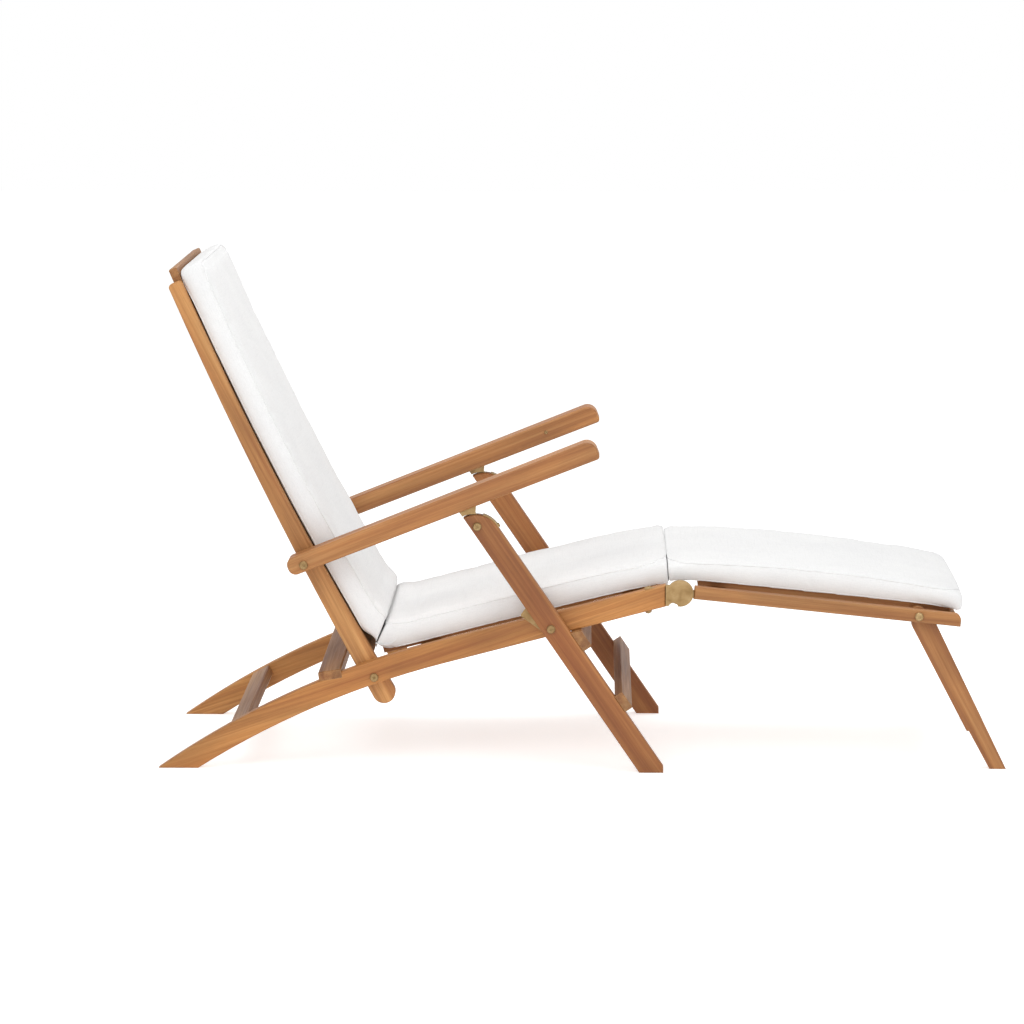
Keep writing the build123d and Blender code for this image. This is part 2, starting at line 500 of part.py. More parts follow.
# Footrest hinge: an outer brass plate on each seat rail and an inner one in each foot rail
foot_disc_outer = disc_inner - DISC_GAP
foot_disc_inner = foot_disc_outer - FOOT_DISC_THICK
foot_tail_size = (FOOT_RAIL_START + FOOT_TAIL_LENGTH, FOOT_TAIL_HEIGHT)
foot_tail_align = (Align.MIN, Align.CENTER)
scallop = direction(SCALLOP_ANGLE) * SCALLOP_OFFSET
neck_length = HINGE[0] - SEAT_FRONT_X
for name, side in SIDES:
    with BuildPart() as seat_hinge_plate:
        with BuildSketch(layer(hinge_plane, side, disc_inner, disc_outer)):
            Circle(DISC_RADIUS)
            with Locations((-neck_length, rail_front[1] - HINGE[1])):
                Rectangle(neck_length, DISC_NECK_HEIGHT, align=(Align.MIN, Align.MAX))
            with Locations((scallop.X, scallop.Z)):
                Circle(SCALLOP_RADIUS, mode=Mode.SUBTRACT)
        extrude(amount=DISC_THICK)
        with BuildSketch(layer(hinge_plane, side, disc_inner, disc_inner + SEAT_TAIL_THICK)):
            with Locations(tail_start):
                Rectangle(tail_size[0] - DISC_RADIUS, tail_size[1], align=Align.MIN)
        extrude(amount=SEAT_TAIL_THICK)
        with BuildSketch(layer(hinge_plane, side, disc_inner, disc_inner + HINGE_PIN_SEAT)):
            Circle(BOLT_RADIUS + RUNNING_CLEARANCE)
        extrude(amount=HINGE_PIN_SEAT, mode=Mode.SUBTRACT)
    finish(seat_hinge_plate, f"{name}_seat_hinge_plate")

    with BuildPart() as foot_hinge_plate:
        with BuildSketch(layer(FOOT, side, foot_disc_inner, foot_disc_outer)):
            Circle(FOOT_DISC_RADIUS)
            Rectangle(*foot_tail_size, align=foot_tail_align)
        extrude(amount=FOOT_DISC_THICK)
        drill(HINGE)
    finish(foot_hinge_plate, f"{name}_foot_hinge_plate")

    with BuildPart() as foot_rail:
        with BuildSketch(layer(FOOT, side, RAIL_INNER, RAIL_OUTER)) as rail_outline:
            with Locations((FOOT_RAIL_START, FOOT_RAIL_ABOVE)):
                Rectangle(FOOT_RAIL_END - FOOT_RAIL_START, FOOT_RAIL_DEPTH, align=(Align.MIN, Align.MAX))
            fillet(rail_outline.vertices().group_by(Axis.X)[-1].sort_by(Axis.Y)[-1], FOOT_END_ROUND)
        extrude(amount=RAIL_THICK)
        ease_outline(foot_rail)
        with BuildSketch(layer(FOOT, side, foot_disc_inner, foot_disc_outer)):
            Rectangle(*foot_tail_size, align=foot_tail_align)
        extrude(amount=FOOT_DISC_THICK, mode=Mode.SUBTRACT)
        drill(FOOT_LEG_PIVOT)
    finish(foot_rail, f"{name}_foot_rail")

pin_head_outer = foot_disc_inner - DISC_GAP
with BuildPart() as hinge_pins:
    for name, side in SIDES:
        with BuildSketch(layer(hinge_plane, side, pin_head_outer, disc_inner + HINGE_PIN_SEAT)):
            Circle(BOLT_RADIUS)
        extrude(amount=disc_inner + HINGE_PIN_SEAT - pin_head_outer)
        with BuildSketch(layer(hinge_plane, side, pin_head_outer - HINGE_PIN_HEAD_THICK, pin_head_outer)):
            Circle(HINGE_PIN_HEAD)
        extrude(amount=HINGE_PIN_HEAD_THICK)
finish(hinge_pins, "hinge_pins")

# Footrest battens and slats
foot_slat_top = FOOT_RAIL_ABOVE + SLAT_RISE
foot_slat_length = FOOT_RAIL_END - FOOT_SLAT_INSET - FOOT_SLAT_START
far_batten = FOOT_RAIL_END - FOOT_BATTEN_INSET
for name, along in (("near_foot_batten", FOOT_BATTEN_NEAR), ("far_foot_batten", far_batten)):
    with BuildPart() as batten:
        with BuildSketch(FOOT.offset(-RAIL_INNER)):
            with Locations((along, foot_slat_top - SLAT_THICK)):
                Rectangle(FOOT_BATTEN_WIDTH, FOOT_BATTEN_THICK, align=(Align.CENTER, Align.MAX))
        extrude(amount=2 * RAIL_INNER)
    finish(batten, name)

for number, edge in enumerate(SLAT_EDGES, 1):
    with BuildPart() as slat:
        with BuildSketch(FOOT.offset(edge)):
            with Locations((FOOT_SLAT_START, foot_slat_top)):
                Rectangle(foot_slat_length, SLAT_THICK, align=(Align.MIN, Align.MAX))
        extrude(amount=SLAT_WIDTH)
        ease_outline(slat, SLAT_EASE)
    finish(slat, f"foot_slat_{number}")

# Footrest legs, tapered, with a small step near the foot
shoulder_z = FOOT_LEG_PIVOT[1] - FOOT_LEG_SHOULDER_DROP
shoulder_rear = (FOOT_LEG_PIVOT[0] - FOOT_LEG_SHOULDER_REAR, shoulder_z)
shoulder_front = (FOOT_LEG_PIVOT[0] + FOOT_LEG_SHOULDER_FRONT, shoulder_z)
sole_rear = (FOOT_LEG_PIVOT[0] + FOOT_LEG_REACH, 0.0)
sole_front = (sole_rear[0] + FOOT_LEG_SOLE, 0.0)
step_x = sole_rear[0] - FOOT_LEG_STEP_Z * (sole_rear[0] - shoulder_rear[0]) / shoulder_z
leg_round = [(FOOT_LEG_PIVOT[0] + FOOT_LEG_TOP_RADIUS * across, FOOT_LEG_PIVOT[1] + FOOT_LEG_TOP_RADIUS * up)
             for across, up in ((1, 0), (0, 1), (-1, 0))]
foot_leg_points = [leg_round[2], shoulder_rear, (step_x - FOOT_LEG_STEP, FOOT_LEG_STEP_Z),
                   (step_x, FOOT_LEG_STEP_Z), sole_rear, sole_front, shoulder_front, leg_round[0]]
for name, side in SIDES:
    with BuildPart() as foot_leg:
        with BuildSketch(layer(XZ, side, POST_INNER, POST_OUTER)):
            with BuildLine():
                Polyline(*foot_leg_points)
                ThreePointArc(*leg_round)
            make_face()
        extrude(amount=POST_THICK)
        drill(FOOT_LEG_PIVOT)
    finish(foot_leg, f"{name}_foot_leg")

leg_lean = degrees(atan2(FOOT_LEG_PIVOT[1], FOOT_LEG_REACH + FOOT_LEG_SOLE / 2))
foot_stretcher_x = FOOT_LEG_PIVOT[0] + (FOOT_LEG_PIVOT[1] - FOOT_STRETCHER_Z) / tan(radians(leg_lean))
with BuildPart() as foot_leg_stretcher:
    with BuildSketch(side_plane((foot_stretcher_x, FOOT_STRETCHER_Z), -leg_lean).offset(-POST_INNER)):
        Rectangle(FOOT_STRETCHER_HEIGHT, FOOT_STRETCHER_THICK)
    extrude(amount=2 * POST_INNER)
    chamfer(foot_leg_stretcher.edges().filter_by(Axis.Y), EASE)
finish(foot_leg_stretcher, "foot_leg_stretcher")


def bolt_pair(name, centre, inner, outer, nut=True, collar=None):
    """A bolt with a hexagon socket on each side of the chair, and a nut at its inner end."""
    head_end = outer + HEAD_HEIGHT
    with BuildPart() as bolts:
        for _, side in SIDES:
            lengths = [(BOLT_RADIUS, inner, outer), (HEAD_RADIUS, outer, head_end)]
            if collar:
                lengths.append((HEAD_RADIUS, *collar))
            for radius, start, end in lengths:
                with Locations((centre[0], side * (start + end) / 2, centre[1])):
                    Cylinder(radius, end - start, rotation=(90, 0, 0))
        rims = bolts.edges().filter_by(GeomType.CIRCLE).sort_by(Axis.Y)
        chamfer([rims[0], rims[-1]], HEAD_BEVEL)
        for _, side in SIDES:
            with BuildSketch(layer(side_plane(centre), side, head_end - SOCKET_DEPTH, head_end)):
                RegularPolygon(SOCKET_RADIUS, 6)
            extrude(amount=SOCKET_DEPTH, mode=Mode.SUBTRACT)
            if nut:
                with BuildSketch(layer(side_plane(centre), side, inner - NUT_HEIGHT, inner)):
                    RegularPolygon(NUT_RADIUS, 6)
                extrude(amount=NUT_HEIGHT)
    finish(bolts, name)


bolt_pair("back_pivot_bolts", BACK_PIVOT, POST_INNER, RAIL_OUTER)
bolt_pair("leg_pivot_bolts", LEG_PIVOT, RAIL_INNER, LEG_OUTER)
bolt_pair("bracket_bolts", LEG_TOP_BOLT, LEG_INNER, LEG_OUTER, nut=False)
bolt_pair("arm_bolts", ARM_PIVOT, POST_INNER, ARM_OUTER, collar=(POST_OUTER, ARM_INNER))
bolt_pair("foot_leg_bolts", FOOT_LEG_PIVOT, POST_INNER, RAIL_OUTER)


def pad(name, stations):
    """A crowned cushion lofted from head to foot.

    A station gives the point on the pad's underside, the way the pad runs there, its lean,
    how far its sides and its top are drawn in, and how much its underside lifts.
    """
    with BuildPart() as cushion:
        for origin, run, lean, draw_in, lift in stations:
            stretch = 1 / cos(radians(lean))
            half, low = PAD_HALF_WIDTH - draw_in, lift * stretch
            high = (PAD_THICK - lift) * stretch
            inner, middle = half - PAD_EDGE, (low + high) / 2
            plane = Plane(origin=(origin[0], 0, origin[1]), x_dir=(0, 1, 0), z_dir=direction(run + lean))
            with BuildSketch(plane):
                with BuildLine():
                    Line((-inner, low), (inner, low))
                    ThreePointArc((inner, low), (half, middle), (inner, high))
                    ThreePointArc((inner, high), (0, high + PAD_CROWN), (-inner, high))
                    ThreePointArc((-inner, high), (-half, middle), (-inner, low))
                make_face()
        loft(ruled=True)
    finish(cushion, name)


def pad_run(point_at, run_at, start, end, start_lean, end_lean):
    """Stations along one pad: rounded ends, full shoulders and a slight waist."""
    way = 1 if end > start else -1
    stations = []
    for place, share in PAD_ROUNDING:
        at = start + way * place
        stations.append((point_at(at), run_at(at), start_lean, share * PAD_END_DRAW, share * PAD_END_LIFT))
    for share, waist in PAD_WAIST_SHARES:
        at = start + share * (end - start)
        stations.append((point_at(at), run_at(at), 0.0, waist * PAD_WAIST, 0.0))
    for place, share in reversed(PAD_ROUNDING):
        at = end - way * place
        stations.append((point_at(at), run_at(at), end_lean, share * PAD_END_DRAW, share * PAD_END_LIFT))
    return stations


# Pads: their undersides lie on the slats and posts, and their ends meet on the folds' bisectors
seat_base, foot_base = SLAT_RISE + SOFT_CLEARANCE, foot_slat_top + SOFT_CLEARANCE
back_base = -SOFT_CLEARANCE
corner_along = BACK_RAIL_LOW
for _ in range(30):
    corner_x = back_point(corner_along, back_base)[0]
    corner_along += seat_height(corner_x, seat_base) - back_point(corner_along, back_base)[1]
fold_rise = HINGE[1] + foot_base / cos(radians(FOOT_SLOPE)) - HINGE[0] * tan(radians(FOOT_SLOPE))
fold_x = (fold_rise - seat_height(0, seat_base)) / (tan(radians(SEAT_SLOPE)) - tan(radians(FOOT_SLOPE)))
back_lean = (back_slope(corner_along) + SEAT_SLOPE) / 2
fold_lean = (FOOT_SLOPE - SEAT_SLOPE) / 2


def seat_base_point(x):
    return (x, seat_height(x, seat_base))


def back_base_point(along):
    return back_point(along, back_base)


def foot_base_point(x):
    return (x, fold_rise + x * tan(radians(FOOT_SLOPE)))


pad("back_pad", pad_run(back_base_point, lambda along: -back_slope(along),
                        BACK_LENGTH + PAD_TOP_REACH, corner_along + PAD_GAP, 0.0, back_lean))
pad("seat_pad", pad_run(seat_base_point, lambda x: SEAT_SLOPE,
                        corner_x + PAD_GAP, fold_x - PAD_GAP, -back_lean, fold_lean))
foot_pad_end = foot_point(FOOT_RAIL_END)[0] + PAD_FOOT_REACH
pad("foot_pad", pad_run(foot_base_point, lambda x: FOOT_SLOPE,
                        fold_x + PAD_GAP, foot_pad_end, -fold_lean, PAD_FOOT_LEAN))
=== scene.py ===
"""Teak reclining chair with a footrest, three joined white pads and brass fittings, in metres.

The chair's right-hand side lies at negative Y, and +X runs from head to foot.
"""

import json
import math
from collections import namedtuple

import bpy
import numpy as np
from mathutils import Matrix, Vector, noise
from mathutils.bvhtree import BVHTree


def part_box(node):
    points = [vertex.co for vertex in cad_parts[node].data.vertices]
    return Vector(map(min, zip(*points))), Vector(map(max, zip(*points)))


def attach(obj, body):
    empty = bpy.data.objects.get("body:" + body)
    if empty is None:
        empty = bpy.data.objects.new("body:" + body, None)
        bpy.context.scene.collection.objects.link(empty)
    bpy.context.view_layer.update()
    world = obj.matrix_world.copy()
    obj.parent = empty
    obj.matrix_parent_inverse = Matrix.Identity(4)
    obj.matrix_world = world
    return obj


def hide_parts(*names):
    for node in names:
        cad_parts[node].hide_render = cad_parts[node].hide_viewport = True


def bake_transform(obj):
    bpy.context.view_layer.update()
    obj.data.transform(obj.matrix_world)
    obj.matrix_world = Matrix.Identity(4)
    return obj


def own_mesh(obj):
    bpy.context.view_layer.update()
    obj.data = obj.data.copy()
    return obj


MM = 0.001

# Camera at the photograph's viewing angle
CAMERA_PLACE = (0.0226, -7.4, 1.5362)
CAMERA_PITCH, CAMERA_TURN = 0.1479, 0.0209
FOCAL_PIXELS, FRAME_PIXELS, SENSOR, FAR_CLIP = 4021.9, 1024, 36.0, 60.0

# Stage and light: what the camera and metal see (GLOW) and what lights the chair (LIGHT), then the lamps as
# (place, size, watts)
FLOOR_SIZE, FLOOR_WHITE, FLOOR_ROUGH = 30.0, 0.9, 0.9
FLOOR_GLOW, FLOOR_LIGHT, WORLD_GLOW, WORLD_LIGHT = 0.58, 0.25, 1.0, 0.55
LAMP_AIM = (0.0, 0.0, 0.3)
LAMPS = {"key": ((-1.6, -3.2, 3.0), 2.2, 44.0), "fill": ((2.4, -2.6, 2.0), 2.2, 26.0),
         "top": ((0.0, 0.6, 3.6), 2.6, 50.0), "low": ((0.3, -3.6, 0.6), 2.2, 9.0)}

# Directions of the boards and pads above +X, in degrees
SEAT_ANGLE, RAIL_ANGLE, BACK_ANGLE, BACK_RUN = 14.3, 19.0, 117.5, -62.5
ARM_ANGLE, LEG_ANGLE, FOOT_ANGLE, FOOT_LEG_ANGLE = 21.3, 124.34, -5.82, -62.4

# Pads: how the CAD solid is drawn in, remeshed and filled
PAD_SHRINK, PAD_VOXEL, PAD_FILL = 1.0 * MM, 6.0 * MM, 0.85
PUFF_PRESSURE, PUFF_FRAMES, PUFF_QUALITY, PUFF_CAP, PUFF_DRAW = 4.0, 20, 5, 5.0 * MM, 0.6 * MM
PUFF_SIDES, PUFF_UNDER, PUFF_END_LOSS = 0.6, 0.1, 0.8

# Pads: how they are set on their slats, brought together and creased, and the shares kept for a folded
# footrest
SAG_EDGE, SAG_SPAN, SAG_FADE = 200.0 * MM, 22.0 * MM, 1.2
END_SAG_REACH = 40.0 * MM
END_LIFT, LIFT_REACH, LIFT_FADE = 11.0 * MM, 48.0 * MM, 2
MEET_GAP, MEET_EVEN, MEET_REACH, MEET_FULL = 0.4 * MM, 0.18, 34.0 * MM, 10.0 * MM
WRINKLE_HEIGHT, WRINKLE_SIDES = 1.5 * MM, 0.75
BROAD_WAVES, BROAD_SHARE = (7.0, 4.0, 7.0), 0.9
FOLD_WAVES, FOLD_SHARE, FOLD_SHARPNESS = (13.0, 8.0, 13.0), 0.7, 3.0
SEED_SHIFT = (3.7, 1.9, 2.3)
FOLD_KEEP, SEAT_KEEP = 0.30, 0.965

# Sewn edges of the pads, and the cloth strips that join them
SEAM_RADIUS, SEAM_SINK, SEAM_STEP, SEAM_SIDES = 1.2 * MM, 0.9 * MM, 7.0 * MM, 6
SEAM_ROUNDS, SEAM_SMOOTHING, FACING_SMOOTHING = 2, 14, 3
STRIP_HALF_WIDTH, STRIP_THICK, STRIP_STEPS, STRIP_CELL = 202.0 * MM, 1.2 * MM, 12, 9.0 * MM
STRIP_SMOOTHING, STRIP_ROUNDNESS = 6, 0.8
BACK_STRIP_DROP, FOOT_STRIP_DROP = 10.0 * MM, 8.0 * MM
LOOP_X, LOOP_INNER, LOOP_OUTER, LOOP_DROP = -338.0 * MM, 207.0 * MM, 226.0 * MM, 6.0 * MM

# Brass fasteners: radii, places, and profiles as (radius, height) in shares of the radius, from top to foot
BOLT_X, BOLT_HEAD, BOLT_NUT = 119.0 * MM, 6.5 * MM, 6.0 * MM
SCREW_HEAD, PLUG_HEAD, PLUG_X, ARM_Y = 4.2 * MM, 3.5 * MM, -72.0 * MM, 270.0 * MM
HEAD_PROFILE = ((0.42, 0.30), (0.42, 0.58), (0.70, 0.56), (0.90, 0.38), (1.0, 0.12), (1.0, -0.15))
NUT_PROFILE = ((0.48, 0.95), (0.55, 0.88), (0.55, 0.70), (0.90, 0.70), (1.0, 0.60), (1.0, -0.15))
TURNED_SIDES = 20
SIDES = (("right", -1.0), ("left", 1.0))

# Lines cast at the chair start at this height or distance, clear of it, or on the floor
CLEAR = 1.0
UP, DOWN, REARWARD = (0.0, 0.0, 1.0), (0.0, 0.0, -1.0), (-1.0, 0.0, 0.0)

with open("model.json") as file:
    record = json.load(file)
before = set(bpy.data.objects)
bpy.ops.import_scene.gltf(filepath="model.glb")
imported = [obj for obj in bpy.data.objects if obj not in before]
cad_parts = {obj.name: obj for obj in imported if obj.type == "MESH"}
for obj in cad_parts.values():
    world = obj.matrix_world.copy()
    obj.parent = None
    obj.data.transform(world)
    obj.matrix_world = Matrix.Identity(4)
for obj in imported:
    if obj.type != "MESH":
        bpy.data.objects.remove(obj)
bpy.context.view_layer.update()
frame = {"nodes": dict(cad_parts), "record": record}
nodes = frame["nodes"]


# Materials

CHANCE_STEP = (3.1, 7.7, 5.3)
TEAK_EDGE_RADIUS, BRASS_EDGE_RADIUS, EDGE_SAMPLES = 2.4 * MM, 1.2 * MM, 6


def node_tree(name):
    """A new material with its node tree and its shader."""
    material = bpy.data.materials.new(name)
    material.use_nodes = True
    tree = material.node_tree
    return material, tree, tree.nodes["Principled BSDF"]


def add(tree, kind, **values):
    """A node whose named inputs and settings are set from the values."""
    node = tree.nodes.new(kind)
    for key, value in values.items():
        if key in node.inputs:
            node.inputs[key].default_value = value
        else:
            setattr(node, key, value)
    return node


def ramp(tree, source, stops):
    """A colour ramp with its stops given as (place, colour)."""
    node = tree.nodes.new("ShaderNodeValToRGB")
    while len(node.color_ramp.elements) < len(stops):
        node.color_ramp.elements.new(0.5)
    for element, (place, colour) in zip(node.color_ramp.elements, stops):
        element.position = place
        element.color = (*colour, 1.0)
    tree.links.new(source, node.inputs["Fac"])
    return node.outputs["Color"]


def grey(value):
    return (value, value, value)


def stretched_noise(tree, vector, scale, detail, distortion=0.0):
    """Noise at a scale for each of the board's own directions."""
    mapping = add(tree, "ShaderNodeMapping", Scale=scale)
    tree.links.new(vector, mapping.inputs["Vector"])
    texture = add(tree, "ShaderNodeTexNoise", Scale=1.0, Detail=detail, Distortion=distortion)
    tree.links.new(mapping.outputs["Vector"], texture.inputs["Vector"])
    return texture.outputs["Fac"]


def mix(tree, blend, factor, first, second):
    """Mixes two colours; the factor is a number or a socket."""
    node = tree.nodes.new("ShaderNodeMix")
    node.data_type = "RGBA"
    node.blend_type = blend
    sockets = [socket for socket in node.inputs if socket.type == "RGBA"]
    if isinstance(factor, float):
        node.inputs["Factor"].default_value = factor
    else:
        tree.links.new(factor, node.inputs["Factor"])
    for socket, colour in zip(sockets, (first, second)):
        if isinstance(colour, tuple):
            socket.default_value = (*colour, 1.0)
        else:
            tree.links.new(colour, socket)
    return [socket for socket in node.outputs if socket.type == "RGBA"][0]


def own_directions(tree, turn):
    """Places on a piece, turned so that local x runs along it, and moved by a chance step for each piece."""
    place = tree.nodes.new("ShaderNodeTexCoord")
    piece = tree.nodes.new("ShaderNodeObjectInfo")
    turned = add(tree, "ShaderNodeMapping", Rotation=turn)
    tree.links.new(place.outputs["Object"], turned.inputs["Vector"])
    shift = add(tree, "ShaderNodeVectorMath", operation="SCALE")
    shift.inputs[0].default_value = CHANCE_STEP
    tree.links.new(piece.outputs["Random"], shift.inputs["Scale"])
    moved = add(tree, "ShaderNodeVectorMath", operation="ADD")
    tree.links.new(turned.outputs["Vector"], moved.inputs[0])
    tree.links.new(shift.outputs["Vector"], moved.inputs[1])
    return moved.outputs["Vector"], piece.outputs["Random"]


def soft_edges(tree, radius):
    """The normal rounded at edges, and how strongly a place is on an edge."""
    rounded = add(tree, "ShaderNodeBevel", Radius=radius, samples=EDGE_SAMPLES)
    surface = tree.nodes.new("ShaderNodeNewGeometry")
    same = add(tree, "ShaderNodeVectorMath", operation="DOT_PRODUCT")
    tree.links.new(rounded.outputs["Normal"], same.inputs[0])
    tree.links.new(surface.outputs["Normal"], same.inputs[1])
    edge = ramp(tree, same.outputs["Value"], [(0.80, grey(1.0)), (0.99, grey(0.0))])
    return rounded.outputs["Normal"], edge


TEAK_LIGHT, TEAK_MIDDLE = (0.700, 0.370, 0.140), (0.540, 0.245, 0.078)
TEAK_DARK, TEAK_STREAK = (0.370, 0.138, 0.038), (0.200, 0.068, 0.024)
TEAK_EDGE = (0.700, 0.400, 0.175)
TEAK_TINTS = [(0.0, (1.0, 0.98, 0.95)), (0.5, (0.95, 0.93, 0.90)), (1.0, (0.93, 0.86, 0.80))]


def teak(name, turn, tone):
    """Oiled teak with its grain along a board's own direction, given as a turn of the texture."""
    material, tree, shader = node_tree(name)
    link = tree.links.new
    vector, chance = own_directions(tree, turn)
    rounded, edge = soft_edges(tree, TEAK_EDGE_RADIUS)
    bands = stretched_noise(tree, vector, (1.6, 46.0, 46.0), 4.0, 0.5)
    streaks = stretched_noise(tree, vector, (0.9, 60.0, 60.0), 3.0, 0.7)
    lines = stretched_noise(tree, vector, (8.0, 520.0, 520.0), 3.0, 0.2)
    pores = stretched_noise(tree, vector, (70.0, 1900.0, 1900.0), 2.0)
    figure = stretched_noise(tree, vector, (3.0, 150.0, 150.0), 4.0, 0.4)
    bands = mix(tree, "MIX", 0.4, bands, figure)
    colour = ramp(tree, bands, [(0.34, TEAK_DARK), (0.50, TEAK_MIDDLE), (0.66, TEAK_LIGHT)])
    colour = mix(tree, "MULTIPLY", 1.0, colour, tone)
    broad = stretched_noise(tree, vector, (3.5, 15.0, 15.0), 2.0, 0.4)
    colour = mix(tree, "MULTIPLY", 1.0, colour, ramp(tree, broad, [(0.34, grey(0.78)), (0.62, grey(1.06))]))
    dark = ramp(tree, streaks, [(0.60, grey(0.0)), (0.80, grey(0.5))])
    colour = mix(tree, "MIX", dark, colour, TEAK_STREAK)
    colour = mix(tree, "MULTIPLY", 0.40, colour, ramp(tree, lines, [(0.34, grey(0.70)), (0.60, grey(1.0))]))
    colour = mix(tree, "MULTIPLY", 0.25, colour, ramp(tree, pores, [(0.36, grey(0.6)), (0.55, grey(1.0))]))
    colour = mix(tree, "MULTIPLY", 1.0, colour, ramp(tree, chance, TEAK_TINTS))
    worn = mix(tree, "MULTIPLY", 1.0, edge, ramp(tree, lines, [(0.40, grey(0.1)), (0.65, grey(0.55))]))
    link(mix(tree, "MIX", worn, colour, TEAK_EDGE), shader.inputs["Base Color"])
    link(ramp(tree, lines, [(0.30, grey(0.62)), (0.70, grey(0.47))]), shader.inputs["Roughness"])
    bump = add(tree, "ShaderNodeBump", Strength=0.2, Distance=0.5 * MM)
    link(mix(tree, "MIX", 0.5, lines, pores), bump.inputs["Height"])
    link(rounded, bump.inputs["Normal"])
    link(bump.outputs["Normal"], shader.inputs["Normal"])
    return material


BRASS_SHADES = [(0.32, (0.28, 0.176, 0.076)), (0.52, (0.35, 0.232, 0.108)), (0.72, (0.42, 0.290, 0.150))]
# Colour of the painted highlight laid on the brass edges
BRASS_EDGE_HIGHLIGHT = (0.74, 0.60, 0.34)


def brass(name):
    """Satin brass with fine drawing lines, a slight mottled tarnish and a painted highlight that brightens
    its edges.
    """
    material, tree, shader = node_tree(name)
    link = tree.links.new
    vector, chance = own_directions(tree, (0.0, 0.0, 0.0))
    rounded, edge = soft_edges(tree, BRASS_EDGE_RADIUS)
    mottle = stretched_noise(tree, vector, (48.0, 48.0, 48.0), 5.0, 0.4)
    drawn = stretched_noise(tree, vector, (160.0, 900.0, 1500.0), 3.0)
    colour = ramp(tree, mottle, BRASS_SHADES)
    colour = mix(tree, "MULTIPLY", 0.3, colour, ramp(tree, drawn, [(0.35, grey(0.72)), (0.6, grey(1.0))]))
    # Painted highlight: the edges are mixed half way towards a bright brass colour
    colour = mix(tree, "MIX", mix(tree, "MULTIPLY", 1.0, edge, grey(0.5)), colour, BRASS_EDGE_HIGHLIGHT)
    colour = mix(tree, "MULTIPLY", 1.0, colour, ramp(tree, chance, [(0.0, grey(0.92)), (1.0, grey(1.0))]))
    link(colour, shader.inputs["Base Color"])
    shader.inputs["Metallic"].default_value = 1.0
    link(ramp(tree, mottle, [(0.3, grey(0.55)), (0.7, grey(0.38))]), shader.inputs["Roughness"])
    bump = add(tree, "ShaderNodeBump", Strength=0.12, Distance=0.4 * MM)
    link(drawn, bump.inputs["Height"])
    link(rounded, bump.inputs["Normal"])
    link(bump.outputs["Normal"], shader.inputs["Normal"])
    return material


CLOTH_SHADES = [(0.3, grey(0.815)), (0.7, (0.86, 0.86, 0.855))]


def white_cloth(name, turn):
    """Plain-woven white cover cloth: uneven crossing threads, slubs, and soft creases."""
    material, tree, shader = node_tree(name)
    link = tree.links.new
    vector, _ = own_directions(tree, turn)
    warp = stretched_noise(tree, vector, (70.0, 1100.0, 1100.0), 2.0)
    weft = stretched_noise(tree, vector, (1100.0, 70.0, 1100.0), 2.0)
    weave = mix(tree, "MIX", 0.5, warp, weft)
    slubs = stretched_noise(tree, vector, (380.0, 14.0, 380.0), 3.0)
    cloud = stretched_noise(tree, vector, (7.0, 7.0, 7.0), 3.0, 0.3)
    colour = ramp(tree, cloud, CLOTH_SHADES)
    colour = mix(tree, "MULTIPLY", 1.0, colour, ramp(tree, weave, [(0.35, grey(0.93)), (0.6, grey(1.0))]))
    colour = mix(tree, "MULTIPLY", 0.5, colour, ramp(tree, slubs, [(0.30, grey(0.93)), (0.5, grey(1.0))]))
    link(colour, shader.inputs["Base Color"])
    shader.inputs["Roughness"].default_value = 0.85
    shader.inputs["Sheen Weight"].default_value = 0.15
    shader.inputs["Sheen Roughness"].default_value = 0.5
    creases = stretched_noise(tree, vector, (15.0, 11.0, 15.0), 4.0, 0.8)
    soft = add(tree, "ShaderNodeBump", Strength=0.22, Distance=4.0 * MM)
    link(creases, soft.inputs["Height"])
    fine = add(tree, "ShaderNodeBump", Strength=0.25, Distance=0.3 * MM)
    link(weave, fine.inputs["Height"])
    link(soft.outputs["Normal"], fine.inputs["Normal"])
    link(fine.outputs["Normal"], shader.inputs["Normal"])
    return material


def along(angle):
    """Turn of the texture that lays its local x at an angle above +X."""
    return (0.0, math.radians(angle), 0.0)


ACROSS = (0.0, 0.0, math.radians(-90.0))
BRASS = brass("satin_brass")
TEAK = {
    "rail": teak("teak_rail", along(RAIL_ANGLE), (0.97, 0.93, 0.76)),
    "seat": teak("teak_seat", along(SEAT_ANGLE), (0.80, 0.75, 0.70)),
    "back": teak("teak_back", along(BACK_ANGLE), (1.03, 1.08, 1.06)),
    "arm": teak("teak_arm", along(ARM_ANGLE), (0.85, 0.80, 0.74)),
    "leg": teak("teak_leg", along(LEG_ANGLE), (0.69, 0.57, 0.46)),
    "foot": teak("teak_foot", along(FOOT_ANGLE), (0.77, 0.72, 0.64)),
    "foot_leg": teak("teak_foot_leg", along(FOOT_LEG_ANGLE), (0.72, 0.66, 0.60)),
    "across": teak("teak_across", ACROSS, (0.66, 0.66, 0.66)),
}
GRAIN = (("stretcher", "across"), ("side_rail", "rail"), ("seat_slat", "seat"), ("back_slat", "back"),
         ("back_post", "back"), ("foot_leg", "foot_leg"), ("foot_rail", "foot"), ("foot_slat", "foot"),
         ("front_leg", "leg"), ("right_arm", "arm"), ("left_arm", "arm"))


def grain_of(node):
    """The grain that a wooden node takes; what isn't a named board runs across the chair."""
    return next((grain for part, grain in GRAIN if part in node), "across")


def paint(piece, material):
    piece.data.materials.clear()
    piece.data.materials.append(material)


for entry in frame["record"]["subparts"]:
    if entry["material_slot"] == "teak":
        paint(nodes[entry["node"]], TEAK[grain_of(entry["node"])])
    elif entry["material_slot"] == "brass":
        paint(nodes[entry["node"]], BRASS)


# Mesh helpers

def new_piece(name, mesh):
    piece = bpy.data.objects.new(name, mesh)
    bpy.context.scene.collection.objects.link(piece)
    return piece


def built(name, places, faces, material):
    """A new smooth piece from its points and faces."""
    mesh = bpy.data.meshes.new(name)
    mesh.from_pydata([tuple(place) for place in places], [], faces)
    mesh.validate()
    piece = new_piece(name, mesh)
    smooth(piece)
    paint(piece, material)
    return piece


